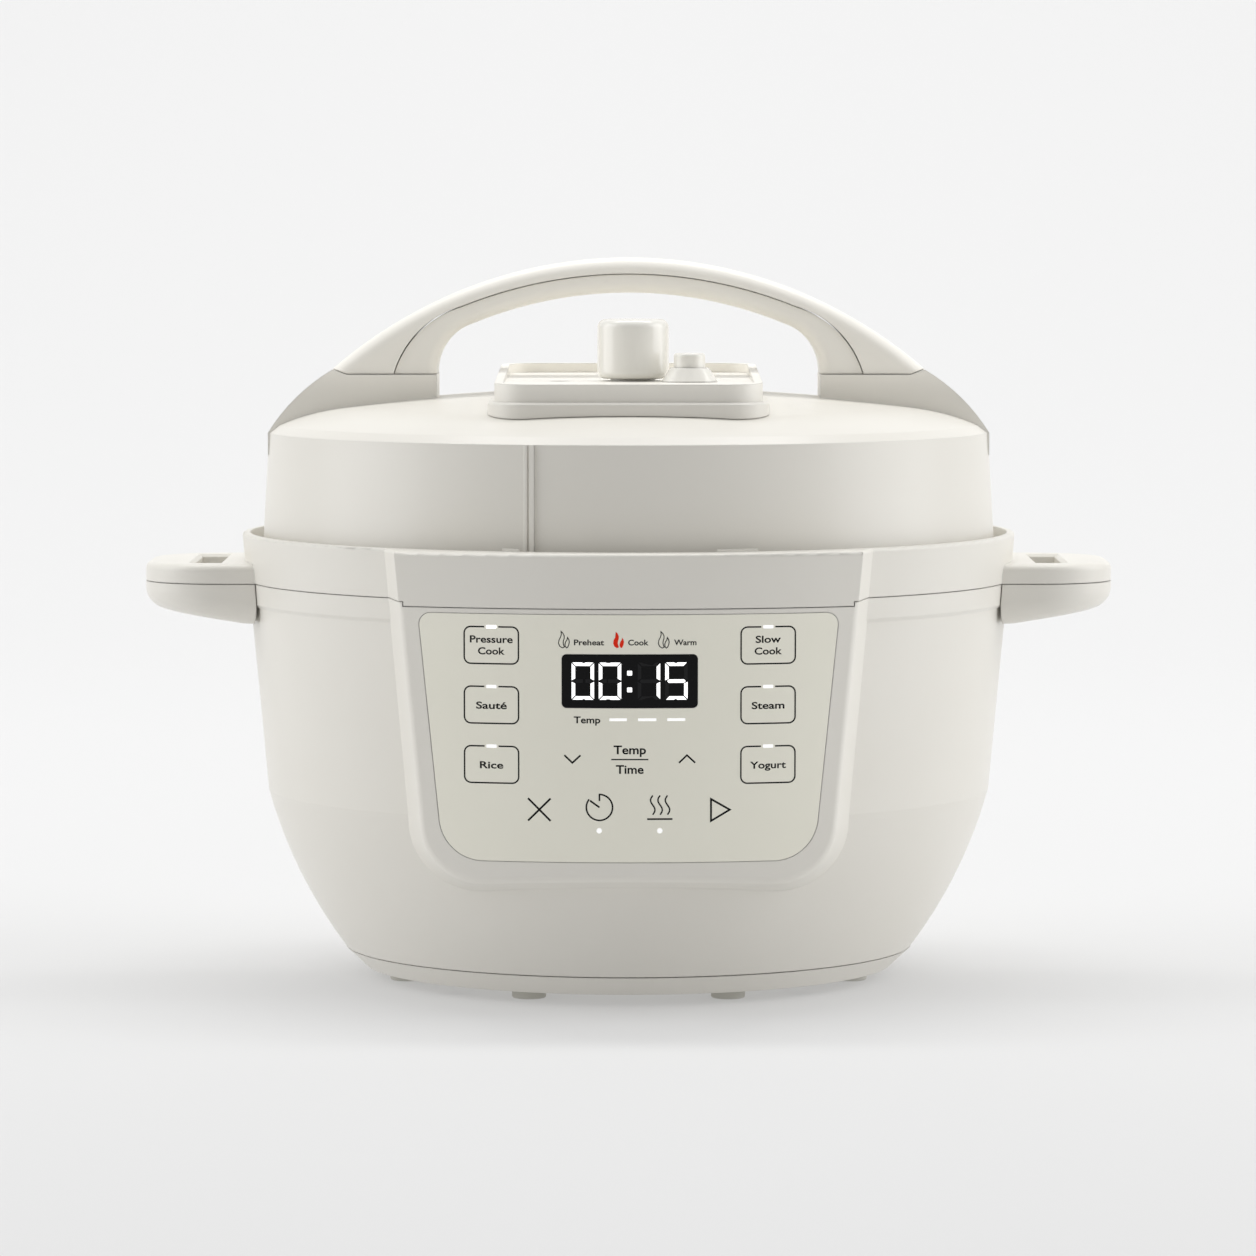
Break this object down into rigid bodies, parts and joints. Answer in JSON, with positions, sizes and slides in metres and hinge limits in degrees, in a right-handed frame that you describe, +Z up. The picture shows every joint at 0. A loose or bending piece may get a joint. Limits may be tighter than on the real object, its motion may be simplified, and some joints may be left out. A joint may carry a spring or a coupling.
{
  "type": "electric pressure cooker",
  "caption": "Squat electric pressure cooker: bowl-shaped body with a front touch panel and two side grips, and a domed twist-lock lid under an arched carrying handle.",
  "frame": {"origin": "on the cooking pot's axis, in the plane that the feet stand on", "axes": "+Z up along the pot's axis; the touch panel faces -Y; +X to the right of a person facing the panel"},
  "size_m": [0.3474, 0.2928, 0.2591],
  "materials": {
    "body_plastic": "satin moulded",
    "lid_plastic": "satin moulded",
    "panel_film": "printed film, satin",
    "display_lens": "gloss",
    "knob_plastic": "satin gloss, slightly translucent",
    "cup_plastic": "satin, slightly translucent",
    "foot_rubber": "matte",
    "seal_silicone": "matte, translucent",
    "screw_steel": "zinc plated",
    "liner_steel": "drawn steel",
    "pot_steel": "spun brushed",
    "lid_steel": "pressed, brushed",
    "plate_aluminium": "cast and machined",
    "element_steel": "sheathed",
    "strap_steel": "zinc plated",
    "spring_steel": "bright wire",
    "switch_plastic": "moulded",
    "fuse_ceramic": "matte",
    "board_laminate": "glass-fibre laminate",
    "component_plastic": "moulded",
    "inlet_plastic": "moulded",
    "pin_brass": "plated",
    "lead_sleeve": "silicone sleeve",
    "ribbon_plastic": "flat cable",
    "frame_plastic": "moulded",
    "lever_plastic": "glass-filled"
  },
  "bodies": {
    "cooker_base": {"lower_housing": "body_plastic", "base_pan": "body_plastic", "rubber_feet": "foot_rubber", "pan_screws": "screw_steel", "collar_ring": "body_plastic", "collar_screws": "screw_steel", "handle_grip_left": "body_plastic", "handle_grip_right": "body_plastic", "grip_screws": "screw_steel", "steel_liner": "liner_steel", "heating_plate": "plate_aluminium", "heating_element": "element_steel", "plate_bolts": "screw_steel", "sensor_strap": "strap_steel", "sensor_spring": "spring_steel", "pressure_switch": "switch_plastic", "thermal_fuse": "fuse_ceramic", "power_board": "board_laminate", "power_components": "component_plastic", "mains_inlet": "inlet_plastic", "inlet_pins": "pin_brass", "mains_leads": "lead_sleeve", "ribbon_cable": "ribbon_plastic", "control_panel": "panel_film", "display_window": "display_lens", "display_module": "component_plastic", "control_board": "board_laminate", "board_frame": "frame_plastic", "board_screws": "screw_steel", "touch_springs": "spring_steel"},
    "condensation_cup": {"condensation_cup": "cup_plastic"},
    "sensor": {"temperature_sensor": "plate_aluminium"},
    "pot": {"inner_pot": "pot_steel"},
    "seal": {"sealing_ring": "seal_silicone"},
    "lid": {"lid_cover": "lid_plastic", "carry_handle_top": "lid_plastic", "carry_handle_grip": "lid_plastic", "carry_handle_screws": "screw_steel", "valve_deck": "lid_plastic", "pressure_lid": "lid_steel", "lid_screws": "screw_steel", "sealing_ring_rack": "lid_steel", "steam_pipe": "lid_steel", "steam_pipe_nut": "lid_steel", "steam_shield": "lid_steel", "button_bezel": "knob_plastic", "button_spring": "spring_steel", "lever_pin": "screw_steel"},
    "float": {"float_valve": "lid_steel", "float_cap": "seal_silicone"},
    "steam_knob": {"steam_release_knob": "knob_plastic"},
    "button": {"quick_release_button": "knob_plastic"},
    "lever": {"release_lever": "lever_plastic"}
  },
  "joints": [
    {"name": "lid_lift", "type": "slide", "parent": "cooker_base", "child": "seal", "axis": [0, 0, 1], "range_m": [0, 0.3]},
    {"name": "lid_turn", "type": "hinge", "parent": "seal", "child": "lid", "pos_m": [0, 0, 0.17], "axis": [0, 0, 1], "range_deg": [0, 30]},
    {"name": "inner_pot_lift", "type": "slide", "parent": "cooker_base", "child": "pot", "axis": [0, 0, 1], "range_m": [0, 0.15]},
    {"name": "sensor_press", "type": "slide", "parent": "cooker_base", "child": "sensor", "axis": [0, 0, 1], "range_m": [-0.0025, 0], "stiffness_N_per_m": 400, "springref_m": 0.001, "deforming": ["sensor_spring"]},
    {"name": "condensation_cup_slide", "type": "slide", "parent": "cooker_base", "child": "condensation_cup", "axis": [0, 1, 0], "range_m": [0, 0.03]},
    {"name": "float_rise", "type": "slide", "parent": "lid", "child": "float", "axis": [0, 0, 1], "range_m": [0, 0.006]},
    {"name": "button_press", "type": "slide", "parent": "lid", "child": "button", "axis": [0, 0, 1], "range_m": [-0.003, 0], "stiffness_N_per_m": 350, "springref_m": 0.002, "deforming": ["button_spring"]},
    {"name": "lever_tilt", "type": "hinge", "parent": "lid", "child": "lever", "pos_m": [0.00962, -0.06229, 0.2036], "axis": [-0.5508, -0.8346, 0], "range_deg": [-12.56, 0]},
    {"name": "steam_knob_lift", "type": "slide", "parent": "lid", "child": "steam_knob", "axis": [0, 0, 1], "range_m": [0, 0.0021]}
  ],
  "couplings": [
    {"joint": "inner_pot_lift", "follows": "lid_lift", "ratio": 0.5},
    {"joint": "lever_tilt", "follows": "button_press", "rad_per_m": 73},
    {"joint": "steam_knob_lift", "follows": "button_press", "ratio": -0.7}
  ]
}
